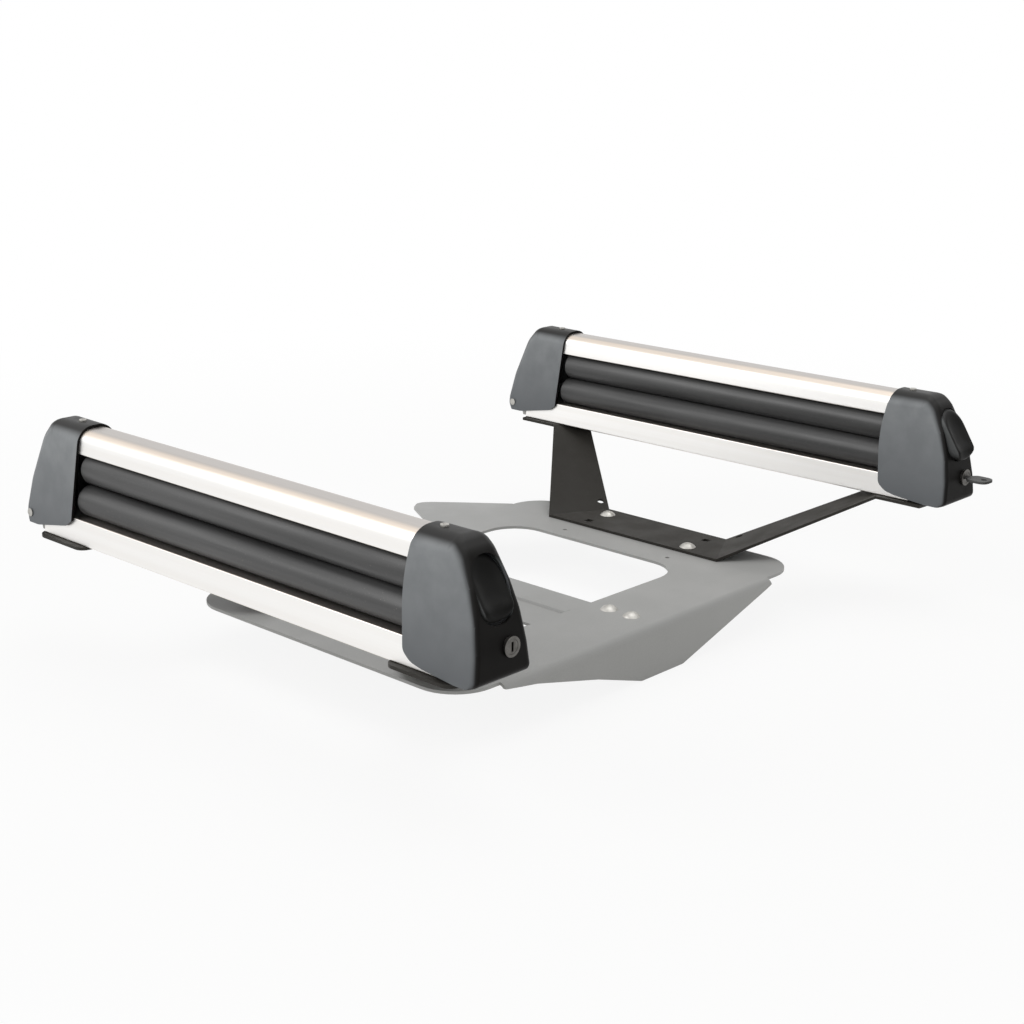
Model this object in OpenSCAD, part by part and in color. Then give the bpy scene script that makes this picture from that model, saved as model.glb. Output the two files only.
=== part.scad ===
/* [Base plate] */
// Thickness of the sheet that the base plate and the cross beam are pressed from
plate_t = 3; // [2:0.5:5]
// Height of the plate's top face above the surface that the stand rests on
stand_h = 51; // [44:1:80]
// Distance from the centre plane to the outside of the near flange
near_x = 195; // [188:1:230]
// Distance from the centre plane to the outside of the far flange
far_x = 192; // [190:1:230]
// Distance from the middle of the stand to the plate's front edge
plate_front = 277; // [270:1:320]
// Distance from the middle of the stand to the plate's rear edge
plate_rear = 234; // [228:1:280]
// Radius of the plate's four corners
plate_corner_r = 42; // [20:1:50]
// Inside radius of the bends along the flanges
flange_bend_r = 5; // [3:1:8]
// Ends of the flat run that each flange rests on, front and rear
foot_run = [-36, 27]; // [-60:1:60]
// Depth of the shallow shoulder in front of the flange's deep part
shoulder_drop = 31; // [20:1:40]
// Place of that shoulder along the flange
shoulder_y = -100; // [-130:1:-70]
// Place of the slight knee near the flange's front end
knee_y = -183; // [-190:1:-140]
// Depth of the flange at that knee
knee_drop = 11; // [8:1:18]
// Front end of both flanges
flange_front_y = -223; // [-230:1:-195]
// Height of the short upright edge at each end of a flange
flange_end = 5; // [4:0.5:7]
// Rear end of the near flange
flange_rear_y = 173; // [120:1:185]

/* [Plate openings] */
// Distance from the centre plane to the opening's near side
opening_near = 108; // [90:1:115]
// Distance from the centre plane to the opening's far side
opening_far = 133; // [110:1:138]
// Half the length of the opening, front to rear
opening_half = 136; // [110:1:150]
// Radius of the opening's corners
opening_r = 38; // [15:1:50]
// Distance from the centre plane to each small accessory hole
accessory_x = 72.5; // [50:0.5:100]
// Distance of the small accessory holes from the middle of the stand
accessory_y = 155; // [150:1:160]
// Diameter of the small accessory holes
accessory_d = 5; // [3:0.5:8]

/* [Side ear] */
// How far the ear reaches out past its crease
ear_reach = 112; // [80:1:130]
// Angle by which the ear dips below the plate
ear_drop = 6; // [0:1:12]
// Ends of the ear's root along the crease, front and rear
ear_root = [56, 189]; // [40:1:195]

/* [Cross beam] */
// Rear edge of the cross beam
beam_rear = -4; // [-20:1:10]
// Width of the cross beam, front to rear
beam_w = 87; // [60:1:100]
// Width of the pressed bead along the beam
bead_w = 10; // [6:1:16]
// Height of the pressed bead
bead_h = 2.6; // [1.5:0.1:3]
// Distance of the bolts from the beam's rear edge
beam_bolt_inset = 9; // [9:0.5:16]
// Distance between the two bolts of each pair
beam_bolt_pitch = 28; // [22:1:34]
// Sheet left beyond the outermost bolts
beam_end_margin = 9; // [8:0.5:10]

/* [Brackets] */
// Thickness of the bracket sheet
bracket_t = 3; // [2:0.5:5]
// Distance between the inner edges of the two brackets
bracket_gap = 358; // [340:1:400]
// Half the length of the strip's inner edge
strip_half = 118.5; // [100:0.5:130]
// Width of the strip, front to rear
strip_w = 65; // [55:1:75]
// Angle between the bends and the front-to-rear direction
bend_skew = 28.4; // [20:0.1:32]
// Slope of the legs above the plate
leg_slope = 22.5; // [15:0.5:28]
// Length of each leg, up its slope
leg_l = 170; // [140:1:190]
// How far the leg's front edge leans along the bend
leg_lean = 61; // [50:1:70]
// Width of the leg at its top
leg_top_w = 46; // [38:1:60]
// Inside radius of the bracket's bends
bracket_bend_r = 4; // [2:0.5:6]
// Depth of the platforms that carry the rack bars
platform_w = 72; // [68:1:84]
// Reach of the platform past the end of its bar
platform_reach = 23; // [18:1:38]
// Outward slant of the platform's outer edge
platform_slant = 5; // [0:1:12]
// Length of the platform from its rounded inner corner to its outer end
platform_l = 75; // [70:1:85]
// Distance between the bolt holes, side to side
hole_pitch_x = 140; // [120:1:160]
// Distance between the bolt holes, front to rear
hole_pitch_y = 32.6; // [26:0.2:38]
// Distance of the first holes from the strip's inner edge
hole_inset = 13.8; // [11:0.2:16]
// Diameter of the free hole in each leg
leg_hole_d = 8; // [5:0.5:10]
// Distance of that hole up the leg from its lower bend
leg_hole_up = 16; // [12:1:30]
// Distance of that hole from the rear end of the bend
leg_hole_inset = 5; // [3:0.5:8]
// Distance from the platform's inner corner to its first bar bolt
t_bolt_inset = 15; // [14:1:17]
// Distance between the two bar bolts of each platform
t_bolt_pitch = 26; // [20:1:28]

/* [Fasteners] */
// Thread diameter of the bolts through the sheet
bolt_d = 8; // [6:1:8]
// Diameter of the domed bolt heads
bolt_head_d = 17.4; // [14:0.2:20]
// Height of the domed bolt heads
bolt_head_h = 4.4; // [3:0.2:6]
// Radial clearance of the bolts in their holes
bolt_clear = 0.5; // [0.3:0.1:1]
// Clearance of the square necks in their square holes
neck_clear = 0.2; // [0.1:0.05:0.5]
// Thickness of the washers
washer_t = 1.6; // [1:0.2:2.4]
// Outer diameter of the washers
washer_d = 16; // [15:0.5:18]
// Height of the nuts
nut_h = 6.5; // [5:0.5:8]
// Width of the nuts across their flats
nut_af = 13; // [12:0.5:15]

/* [Rack bars] */
// Depth of the lower bar, front to rear
bar_w = 60; // [54:1:64]
// Height of the lower bar
bar_h = 23.7; // [22:0.1:27]
// Inward lean of the bar's faces, as a ratio of height
bar_lean = 0.125; // [0.08:0.005:0.16]
// Height of the pair of rubber pads
pads_h = 61.3; // [52:0.1:66]
// Height of the upper bar
upper_h = 23; // [18:0.5:28]
// Wall thickness of both bars
bar_wall = 2; // [1.6:0.1:2.6]
// Half the length of the lower bar
bar_half = 262; // [255:1:264]
// How far each end of the upper bar stands back from the lower bar's
upper_short = 7; // [6:0.5:10]
// How far the rubber pads reach into the lock cap
pad_in_cap = 3; // [1:0.5:10]
// Gap between the widest part of a pad and the bar's leaning face
pad_inset = 0.2; // [0.1:0.1:1]
// Radius along the top edges of the upper bar
upper_r = 13; // [8:0.5:14]
// Width of the slot along the lower bar's underside
slot_w = 9; // [8.5:0.1:10]
// Gap between the upper and lower pads when the arm is shut
pad_gap = 0.3; // [0.2:0.1:1]

/* [End caps] */
// Wall thickness of the moulded end caps
cap_wall = 2.5; // [2:0.1:3]
// Clearance between the caps and the bars inside them
cap_clear = 0.5; // [0.4:0.1:1]
// Height of the caps' bottom edge above the platform
cap_lift = 0.6; // [0.4:0.1:2]
// Length of bar inside the lock cap
lock_cap_lap = 36; // [34:1:40]
// Reach of the lock cap past the end of the lower bar
lock_cap_reach = 44; // [42:1:52]
// Length of bar inside the hinge cap
hinge_cap_lap = 33; // [30:1:38]
// Distance from the end of the lower bar to the hinge pin
hinge_reach = 39; // [36:1:44]
// Height of the hinge pin above the platform
hinge_z = 16; // [15:0.5:18]
// Outside radius of the hinge cap round its pin
hinge_cap_r = 9.5; // [9.2:0.1:11]
// Distance of the lock cap's top screw from its inner face
lock_screw_in = 16; // [12:1:20]
// Distance of the hinge cap's top screw from its inner face
hinge_screw_in = 19; // [11:1:21]

/* [Hinge] */
// Diameter of the hinge pin
hinge_pin_d = 5; // [4:0.5:6]
// Radial running clearance of the pins
pin_clear = 0.05; // [0.02:0.01:0.1]
// Radius of the hinge knuckle
knuckle_r = 5.6; // [5.2:0.1:6]
// Diameter of the hinge pin's head
pin_head_d = 8; // [7:0.5:9]

/* [Latch] */
// Width of the push button
button_w = 30; // [26:1:34]
// Lower and upper end of the push button
button_z = [45, 94]; // [40:1:100]
// How far the button travels when it is pressed
button_travel = 8; // [6:0.5:9]
// How far the button's thumb end stands out when it is released
button_proud = 13; // [11:0.5:15]
// Radius of the dish in the thumb face
dish_r = 46; // [36:1:70]
// Depth of that dish
dish_deep = 1.8; // [0.5:0.1:2.2]
// Sliding clearance round the button
button_clear = 0.4; // [0.2:0.05:0.6]
// Distance from the end of the lower bar to the latch hook's pivot
pivot_reach = 14; // [12:0.5:15]
// Height of the latch hook's pivot
pivot_z = 50; // [48:1:51]
// Height of the button's push rod above the pivot
lever_h = 22; // [20:1:24]
// Thickness of the latch hook
hook_t = 8; // [5:0.5:9]
// Distance of the hook's middle plane from the bar's front face
hook_y = 16; // [15:0.5:17]
// Gap between the hook's nose and the edge of its strike
nose_gap = 0.6; // [0.4:0.1:1]
// Diameter of the hook's pivot pin
hook_pin_d = 4; // [3:0.5:5]

/* [Lock] */
// Diameter of the lock housing's rim
lock_d = 17; // [15:0.5:18]
// Diameter of the turning plug
plug_d = 12; // [10:0.5:13]
// Distance of the lock from the bar's front face
lock_y = 38; // [36:0.5:40]
// Height of the lock's axis
lock_z = 27; // [24:0.5:28]
// Height and width of the keyway
keyway = [8, 2.2]; // [1:0.1:9]
// Length of the key that shows outside the lock
key_out = 28; // [22:1:34]
// Width of the key's bow
bow_w = 22; // [18:1:26]

/* [Hidden] */
$fn = 48;

grey = "#9c9c9a";
anthracite = "#35342f";
silver = "#c9c8c4";
black = "#1c1b1a";
rubber = "#2a2826";
zinc = "#a8a8a6";

// Overrun of a cut past the face that it opens
cut = 1;
// Distance from the ear's crease back to where its outline starts
ear_lap = 6;

strip_y = bracket_gap / 2;
hole_rows = [hole_inset, hole_inset + hole_pitch_y];
flange_deep = stand_h;
near_flat = near_x - plate_t - flange_bend_r;
far_flat = far_x - plate_t - flange_bend_r;

// Centres of the two arms beside the opening, where the beam is bolted
near_arm = (opening_near + near_flat) / 2;
far_arm = -(opening_far + far_flat) / 2;
beam_bolt_y = beam_rear - beam_bolt_inset;
beam_bolt_x = [near_arm - beam_bolt_pitch / 2, near_arm + beam_bolt_pitch / 2,
    far_arm + beam_bolt_pitch / 2, far_arm - beam_bolt_pitch / 2];

// Rise and reach of the sloping legs, measured on the sheet's upper face
leg_foot_w = strip_w / cos(bend_skew);
platform_rise = bracket_t + leg_l * sin(leg_slope);
leg_reach = leg_l * cos(leg_slope);
function leg_point(along, out) =
    [strip_half - along * sin(bend_skew) + out * cos(bend_skew), along * cos(bend_skew) + out * sin(bend_skew)];
leg_top_front = leg_point(leg_lean, leg_reach);
leg_top_rear = leg_point(leg_lean + leg_top_w, leg_reach);
platform_y = leg_top_front[1];
platform_z = stand_h + platform_rise;

// The places along the bars that follow from the bars' length
platform_x = bar_half + platform_reach;
platform_in_x = platform_x - platform_l;
upper_half = bar_half - upper_short;
lock_cap_in = bar_half - lock_cap_lap;
lock_cap_out = bar_half + lock_cap_reach;
hinge_cap_in = bar_half - hinge_cap_lap;
hinge_x = bar_half + hinge_reach;
lock_screw_x = lock_cap_in + lock_screw_in;
hinge_screw_x = hinge_cap_in + hinge_screw_in;
pivot_x = bar_half + pivot_reach;
pad_half = lock_cap_in + pad_in_cap;

// The bars stand in the middle of their platforms, both facing the front
bar_setback = (platform_w - bar_w) / 2;
rear_bar_y = strip_y + platform_y + bar_setback;
front_bar_y = -strip_y - platform_y - platform_w + bar_setback;

pad_h = (pads_h - pad_gap) / 2;
upper_z = bar_h + pads_h;
bar_top = upper_z + upper_h;
cap_top = bar_top + cap_clear + cap_wall;
t_bolt_x = [platform_in_x + t_bolt_inset, platform_in_x + t_bolt_inset + t_bolt_pitch];

// The slot and its chamber under the lower bar
slot_lip = 2.5;
slot_chamber = [20, 8];
web_z = slot_lip + slot_chamber[1] + bar_wall;

press_angle = atan(button_travel / lever_h);
strike_x = pivot_x - 4 - nose_gap;
spring_wire = 1;
spring_r = 4.5;
spring_y = 38;
bulkhead_x = upper_half + cut;
bulkhead_t = 2.5;

// Corner of the end wall that stays clear of the hinge block when the arm is up, measured from the pin
swing_x = 5.6;
swing_z = 5.5;

function unit(v) = v / norm(v);

// Points of an outline whose corners are rounded, one radius a corner
function rounded(points, radii, steps = 6) = [for (i = [0:len(points) - 1])
    let (n = len(points), p = points[i], u = unit(points[(i + n - 1) % n] - p), v = unit(points[(i + 1) % n] - p),
        half = acos(u * v) / 2, r = radii[i], c = p + unit(u + v) * r / sin(half),
        from = p + u * r / tan(half) - c, to = p + v * r / tan(half) - c,
        a = atan2(from[1], from[0]), turn = (atan2(to[1], to[0]) - a + 540) % 360 - 180)
    each r == 0 ? [p] : [for (k = [0:steps]) c + r * [cos(a + turn * k / steps), sin(a + turn * k / steps)]]];

// A solid whose outline is given in X and Z, between two values of Y
module along_y(y0, y1) {
    translate([0, y1, 0]) rotate([90, 0, 0]) linear_extrude(y1 - y0) children();
}

// A solid whose outline is given in Y and Z, between two values of X
module along_x(x0, x1) {
    translate([x0, 0, 0]) rotate([90, 0, 90]) linear_extrude(x1 - x0) children();
}

// A round bar from one value of Y to another
module rod_y(x, z, r, y0, y1) {
    translate([x, y1, z]) rotate([90, 0, 0]) cylinder(h = y1 - y0, r = r);
}

// A round bar from one value of X to another
module rod_x(y, z, r, x0, x1) {
    translate([x0, y, z]) rotate([0, 90, 0]) cylinder(h = x1 - x0, r = r);
}

module dome_bolt(grip) {
    shank = grip + washer_t + nut_h + 2;
    rotate_extrude() intersection() {
        translate([0, bolt_head_h - (pow(bolt_head_d / 2, 2) + pow(bolt_head_h, 2)) / (2 * bolt_head_h)])
            circle((pow(bolt_head_d / 2, 2) + pow(bolt_head_h, 2)) / (2 * bolt_head_h));
        square([bolt_head_d, bolt_head_h]);
    }
    translate([-bolt_d / 2, -bolt_d / 2, -2.6]) cube([bolt_d, bolt_d, 2.6]);
    translate([0, 0, -shank]) cylinder(h = shank, d = bolt_d);
}

module washer() {
    translate([0, 0, -washer_t]) difference() {
        cylinder(h = washer_t, d = washer_d);
        translate([0, 0, -cut]) cylinder(h = washer_t + 2 * cut, d = bolt_d + 0.6);
    }
}

module nut() {
    translate([0, 0, -nut_h]) difference() {
        cylinder(h = nut_h, d = nut_af / cos(30), $fn = 6);
        translate([0, 0, -cut]) cylinder(h = nut_h + 2 * cut, d = bolt_d + 0.1);
    }
}

module square_hole() {
    side = bolt_d + 2 * neck_clear;
    deep = max(bracket_t, plate_t) + 2 * cut;
    translate([-side / 2, -side / 2, -cut]) cube([side, side, deep]);
}

// Places of the bracket's four holes
module at_holes(signs) {
    for (s = signs) translate([s[0] * hole_pitch_x / 2, hole_rows[s[1]], 0]) children();
}

// The bolts sit at two opposite corners of the pattern
fitted_holes = [[-1, 1], [1, 0]];
all_holes = [[-1, 0], [-1, 1], [1, 0], [1, 1]];

module each_bracket() {
    for (side = [0, 1]) mirror([0, side, 0]) translate([0, strip_y, stand_h]) children();
}

module at_beam_bolts() {
    for (x = beam_bolt_x) translate([x, beam_bolt_y, stand_h]) children();
}

// Depth of a flange along its length, as an outline in Y and Z
module flange_outline(rear) {
    polygon(rounded([[flange_front_y, cut], [flange_front_y, -flange_end], [knee_y, -knee_drop],
        [shoulder_y, -shoulder_drop], [foot_run[0], -flange_deep], [foot_run[1], -flange_deep], [rear, -flange_end],
        [rear, cut]], [0, 0, 40, 30, 14, 14, 0, 0]));
}

// Section of the sheet across the stand, with both flanges folded down
module plate_section() {
    r = flange_bend_r;
    low = -flange_deep - cut;
    polygon(rounded([[near_x, low], [near_x, 0], [-far_x, 0], [-far_x, low], [-far_x + plate_t, low],
        [-far_x + plate_t, -plate_t], [near_x - plate_t, -plate_t], [near_x - plate_t, low]],
        [0, r + plate_t, r + plate_t, 0, 0, r, r, 0], 5));
}

module plate_outline() {
    polygon(rounded([[-far_flat, -plate_front], [near_flat, -plate_front],
        [near_flat, plate_rear], [-far_flat, plate_rear]],
        [plate_corner_r, plate_corner_r, plate_corner_r, plate_corner_r], 10));
}

module opening_outline() {
    r = opening_r;
    polygon(rounded([[-opening_far, -opening_half], [opening_near, -opening_half],
        [opening_near, opening_half], [-opening_far, opening_half]], [r, r, r, r], 8));
}

// The ear's outline in plan, from just inside its crease outwards
module ear_outline() {
    polygon(rounded([[ear_lap, ear_root[0]], [0, ear_root[0]], [-0.4 * ear_reach, ear_root[0] + 32],
        [-0.86 * ear_reach, ear_root[0] + 66], [-ear_reach, ear_root[1] - 46], [-0.87 * ear_reach, ear_root[1] - 36],
        [-0.5 * ear_reach, ear_root[1] - 20], [0, ear_root[1]], [ear_lap, ear_root[1]]],
        [0, 0, 60, 16, 9, 20, 40, 0, 0]));
}

// The ear dips from a crease just outside the plate's far side
module ear() {
    end = 1.1 * ear_reach * [-cos(ear_drop), -sin(ear_drop)];
    translate([-far_flat - 2, 0, 0]) intersection() {
        along_y(ear_root[0] - cut, ear_root[1] + cut) polygon([[2 * ear_lap, 0], [0, 0], end,
            end + plate_t * [sin(ear_drop), -cos(ear_drop)], [plate_t * tan(ear_drop / 2), -plate_t],
            [2 * ear_lap, -plate_t]]);
        translate([0, 0, -ear_reach]) linear_extrude(ear_reach + cut) ear_outline();
    }
}

module base_plate() {
    color(grey) translate([0, 0, stand_h]) difference() {
        union() {
            intersection() {
                along_y(-plate_front - cut, plate_rear + cut) plate_section();
                union() {
                    translate([0, 0, -plate_t - cut]) linear_extrude(plate_t + 2 * cut) plate_outline();
                    along_x(near_flat, near_x + cut) flange_outline(flange_rear_y);
                    along_x(-far_x - cut, -far_flat) flange_outline(ear_root[0] - 4);
                }
            }
            ear();
        }
        translate([0, 0, -plate_t - cut]) linear_extrude(plate_t + 2 * cut) opening_outline();
        for (side = [0, 1]) mirror([0, side, 0]) {
            translate([0, strip_y, -plate_t - cut]) at_holes(all_holes)
                cylinder(h = plate_t + 2 * cut, r = bolt_d / 2 + bolt_clear);
            for (x = [-accessory_x, accessory_x]) translate([x, accessory_y, -plate_t - cut])
                cylinder(h = plate_t + 2 * cut, d = accessory_d);
        }
        for (x = beam_bolt_x) translate([x, beam_bolt_y, -plate_t]) square_hole();
    }
}

// The beam is a pressed strip under the two arms, with one bead along it
module cross_beam() {
    x0 = beam_bolt_x[3] - beam_end_margin;
    x1 = beam_bolt_x[1] + beam_end_margin;
    bead_y = beam_rear - beam_w * 0.45;
    color(grey) translate([0, 0, stand_h - 2 * plate_t]) difference() {
        union() {
            translate([x0, beam_rear - beam_w, 0]) cube([x1 - x0, beam_w, plate_t]);
            along_x(-opening_far + cut, opening_near - cut) translate([bead_y, plate_t]) polygon(rounded(
                [[-bead_w / 2 - 1, -cut], [bead_w / 2 + 1, -cut], [bead_w / 2 - 1, bead_h], [-bead_w / 2 + 1, bead_h]],
                [0, 0, 1.5, 1.5]));
        }
        along_x(-opening_far + 4, opening_near - 4) translate([bead_y, 0]) polygon(
            [[-bead_w / 2 + 1, -cut], [bead_w / 2 - 1, -cut], [bead_w / 2 - 2, bead_h], [-bead_w / 2 + 2, bead_h]]);
        for (x = beam_bolt_x) translate([x, beam_bolt_y, -cut])
            cylinder(h = plate_t + 2 * cut, r = bolt_d / 2 + bolt_clear);
    }
}

// Section of the folded bracket sheet across its bends, from the strip out to the platform
module bracket_section() {
    r = bracket_bend_r;
    t = bracket_t;
    under = t * tan(leg_slope / 2);
    polygon(rounded([[-2 * strip_half, 0], [under, 0], [leg_reach + under, platform_rise - t],
        [2 * platform_x, platform_rise - t], [2 * platform_x, platform_rise], [leg_reach, platform_rise],
        [0, t], [-2 * strip_half, t]], [0, r + t, r, 0, 0, r + t, r, 0], 4));
}

// Plan of one half of a bracket, from just past the centre plane to the platform
module bracket_plan() {
    far_y = platform_y + platform_w;
    polygon(rounded([[-cut, 0], [strip_half, 0], leg_top_front, [platform_x - platform_slant, platform_y],
        [platform_x, far_y], [platform_in_x, far_y], leg_top_rear, leg_point(leg_foot_w, 0), [-cut, strip_w]],
        [0, 0, 0, 1, 12, 10, 0, 0, 0]));
}

module bracket_half() {
    intersection() {
        translate([strip_half, 0, 0]) rotate([0, 0, bend_skew])
            along_y(-2 * platform_x, 2 * platform_x) bracket_section();
        linear_extrude(2 * platform_rise) bracket_plan();
    }
}

module bracket() {
    color(anthracite) difference() {
        union() {
            bracket_half();
            mirror([1, 0, 0]) bracket_half();
        }
        at_holes(all_holes) square_hole();
        for (side = [0, 1]) mirror([side, 0, 0]) {
            translate([strip_half, 0, bracket_t]) rotate([0, 0, bend_skew])
                translate([0, leg_foot_w - leg_hole_inset, 0]) rotate([0, -leg_slope, 0])
                translate([leg_hole_up, 0, -bracket_t - cut]) cylinder(h = bracket_t + 2 * cut, d = leg_hole_d);
            for (x = t_bolt_x) translate([x, platform_y + platform_w / 2, platform_rise - bracket_t - cut])
                cylinder(h = bracket_t + 2 * cut, r = bolt_d / 2 + bolt_clear);
        }
    }
}

// Outline of a bar's outside in Y and Z, between two heights
function bar_y(z, inset) = bar_lean * z + inset;
function bar_outline(z0, z1, inset) = [[bar_y(z0, inset), z0], [bar_w - bar_y(z0, inset), z0],
    [bar_w - bar_y(z1, inset), z1], [bar_y(z1, inset), z1]];

module lower_bar() {
    w = bar_wall;
    mid = bar_w / 2;
    chamber = slot_chamber[0] / 2;
    color(silver) along_x(-bar_half, bar_half) difference() {
        polygon(rounded(bar_outline(0, bar_h, 0), [1.2, 1.2, 1, 1], 3));
        polygon(bar_outline(web_z, bar_h - w, w));
        translate([mid - slot_w / 2, -cut]) square([slot_w, slot_lip + 2 * cut]);
        translate([mid - chamber, slot_lip]) square(slot_chamber);
        for (side = [0, 1]) translate([side * bar_w, 0]) mirror([side, 0])
            polygon([[bar_y(w, w), w], [mid - chamber - w, w], [mid - chamber - w, web_z - w],
                [bar_y(web_z - w, w), web_z - w]]);
    }
}

// A rubber pad is an oval lying on its bar
module pad(z) {
    r = pad_h / 2;
    y0 = bar_y(z + r, pad_inset);
    color(rubber) along_x(-pad_half, pad_half) translate([0, z]) union() {
        translate([y0 + r, 0]) square([bar_w - 2 * y0 - 2 * r, pad_h]);
        for (y = [y0 + r, bar_w - y0 - r]) translate([y, r]) circle(r);
    }
}

module upper_bar() {
    w = bar_wall;
    r = upper_r;
    color(silver) difference() {
        along_x(-upper_half, upper_half) difference() {
            polygon(rounded(bar_outline(upper_z, bar_top, 0), [1, 1, r, r], 8));
            polygon(rounded(bar_outline(upper_z + w, bar_top - w, w), [0.5, 0.5, r - w, r - w], 8));
        }
        for (x = [lock_screw_x, -hinge_screw_x]) translate([x, bar_w / 2, bar_top - 2 * w])
            cylinder(h = 4 * w, r = 2.2);
    }
}

// Section of both caps in Y and Z; the lower edge is left to the side outline
function cap_section(inset) = let (out = cap_wall + cap_clear - inset) rounded(
    bar_outline(-10, cap_top - inset, -out), [0, 0, upper_r + out, upper_r + out], 8);

// Side outline of the lock cap in X and Z
function lock_side(inset, bottom) = let (x = lock_cap_out - inset, top = cap_top - inset) rounded(
    [[lock_cap_in, bottom + 13], [lock_cap_in + 9, bottom + 6], [lock_cap_in + 22, bottom + 3.4],
    [x - 22, bottom], [x, bottom], [x - 1.5, 26], [x - 6, 52], [x - 14, 76], [x - 27, 101], [x - 40, top],
    [lock_cap_in, top]],
    [2, 6, 20, 0, 3, 60, 60, 50, 16, 14, 0], 4);

// Side outline of the hinge cap in X and Z, mirrored to positive X
function hinge_side(inset) = let (r = hinge_cap_r - inset, x = hinge_x + r, top = cap_top - inset) rounded(
    [[hinge_cap_in, hinge_z + 5], [hinge_cap_in + 8, hinge_z - 1], [hinge_x - 14, hinge_z - r], [x, hinge_z - r],
    [x, hinge_z + 6], [x - 6, 50], [x - 25, 97], [x - 50, top], [hinge_cap_in, top]],
    [3, 8, 30, r - 0.01, 30, 60, 34, 24, 0], 6);

// The hollow of a cap runs out through its inner face and its underside
module cap_hollow(x_in, x_out) {
    intersection() {
        along_x(x_in - cut, x_out) polygon(cap_section(cap_wall));
        children();
    }
}

module cap_screw_hole(x) {
    translate([x, bar_w / 2, cap_top - 2 * cap_wall]) cylinder(h = 4 * cap_wall, r = 2.2);
}

module lock_cap() {
    color(black) difference() {
        intersection() {
            along_y(-20, bar_w + 20) polygon(lock_side(0, cap_lift));
            along_x(lock_cap_in, lock_cap_out + cut) polygon(cap_section(0));
        }
        difference() {
            cap_hollow(lock_cap_in, lock_cap_out) along_y(-20, bar_w + 20) union() {
                polygon(lock_side(cap_wall, -10));
                translate([lock_cap_in - cut, -10]) square([cut + 30, cap_top - cap_wall + 10]);
            }
            translate([bulkhead_x, -20, 60]) cube([bulkhead_t, bar_w + 40, cap_top]);
            rod_x(lock_y, lock_z, lock_d / 2 + 2, lock_cap_out - 12, lock_cap_out);
        }
        along_x(bulkhead_x + bulkhead_t + cut, lock_cap_out + cut) button_outline(button_clear);
        rod_x(lock_y, lock_z, lock_d / 2 - 0.95, lock_cap_out - 20, lock_cap_out + cut);
        rod_y(pivot_x, pivot_z, hook_pin_d / 2 + pin_clear, bar_y(pivot_z, -1.8), bar_w - bar_y(pivot_z, -1.8));
        cap_screw_hole(lock_screw_x);
    }
}

module hinge_cap() {
    color(black) mirror([1, 0, 0]) difference() {
        intersection() {
            along_y(-20, bar_w + 20) polygon(hinge_side(0));
            along_x(hinge_cap_in, hinge_x + hinge_cap_r) polygon(cap_section(0));
        }
        cap_hollow(hinge_cap_in, hinge_x + hinge_cap_r) along_y(-20, bar_w + 20) union() {
            polygon(hinge_side(cap_wall));
            translate([hinge_cap_in - cut, -10]) square([hinge_x - hinge_cap_in + cut, hinge_z + 10]);
            translate([hinge_x - cut, -10]) square([swing_x + cut, hinge_z - swing_z + 10]);
            translate([hinge_cap_in - cut, 0]) square([cut + 30, cap_top - cap_wall]);
        }
        rod_y(hinge_x, hinge_z, hinge_pin_d / 2 + pin_clear, -20, bar_w + 20);
        cap_screw_hole(hinge_screw_x);
    }
}

// A knuckle for the hinge pin, on a tongue that is held inside the lower bar
module hinge_block() {
    side = 3;
    color(zinc) mirror([1, 0, 0]) difference() {
        union() {
            rod_y(hinge_x, hinge_z, knuckle_r, side, bar_w - side);
            along_y(side, bar_w - side) polygon([[bar_half, 1.5], [hinge_x - 14, 1.5], [hinge_x - 11, hinge_z - knuckle_r],
                [hinge_x, hinge_z - knuckle_r], [hinge_x, hinge_z + knuckle_r], [bar_half, hinge_z + knuckle_r]]);
            translate([bar_half - 20, 2 * side + 2, web_z + 0.3])
                cube([20 + cut, bar_w - 4 * side - 4, bar_h - bar_wall - web_z - 0.6]);
        }
        rod_y(hinge_x, hinge_z, hinge_pin_d / 2 + pin_clear, 0, bar_w);
    }
}

// The catch that the latch hook's nose passes under
module strike() {
    color(zinc) {
        translate([bar_half - 20, 8, web_z + 0.3])
            cube([20 + cut, bar_w - 16, bar_h - bar_wall - web_z - 0.6]);
        translate([bar_half, 6, 3]) cube([3, bar_w - 12, bar_h - 5]);
        along_y(hook_y - hook_t / 2 - 2, hook_y + hook_t / 2 + 2)
            polygon([[bar_half + 2, bar_h - 7], [strike_x, bar_h - 7], [strike_x, bar_h - 4], [bar_half + 2, bar_h - 2]]);
    }
}

module t_bolts() {
    head = [14, slot_chamber[0] - 2, 5];
    shank = bracket_t + washer_t + nut_h + 2;
    color(silver) for (s = [-1, 1], x = t_bolt_x) translate([s * x, bar_w / 2, 0]) {
        translate([-head[0] / 2, -head[1] / 2, slot_lip + 0.1]) cube(head);
        translate([0, 0, -shank]) cylinder(h = shank + slot_lip + 1, d = bolt_d);
    }
}

// A washer and a nut under the platform for each T bolt
module t_nuts() {
    color(silver) for (s = [-1, 1], x = t_bolt_x)
        translate([s * x, bar_w / 2, -bracket_t]) union() {
            washer();
            translate([0, 0, -washer_t]) nut();
        }
}

module cap_screws() {
    color(silver) for (x = [lock_screw_x, -hinge_screw_x]) translate([x, bar_w / 2, cap_top]) {
        difference() {
            cylinder(h = 1.6, r = 3.6);
            translate([0, 0, 0.8]) cylinder(h = 2, r = 1.6, $fn = 6);
        }
        translate([0, 0, -9]) cylinder(h = 9.2, r = 2);
    }
}

module hinge_pin() {
    y0 = bar_y(hinge_z, -cap_wall - cap_clear);
    color(silver) {
        rod_y(-hinge_x, hinge_z, hinge_pin_d / 2, y0, bar_w - y0);
        rod_y(-hinge_x, hinge_z, pin_head_d / 2, y0 - 1.2, y0 - 0.45);
        rod_y(-hinge_x, hinge_z, hinge_pin_d / 2, y0 - 1, y0);
    }
}

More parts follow.
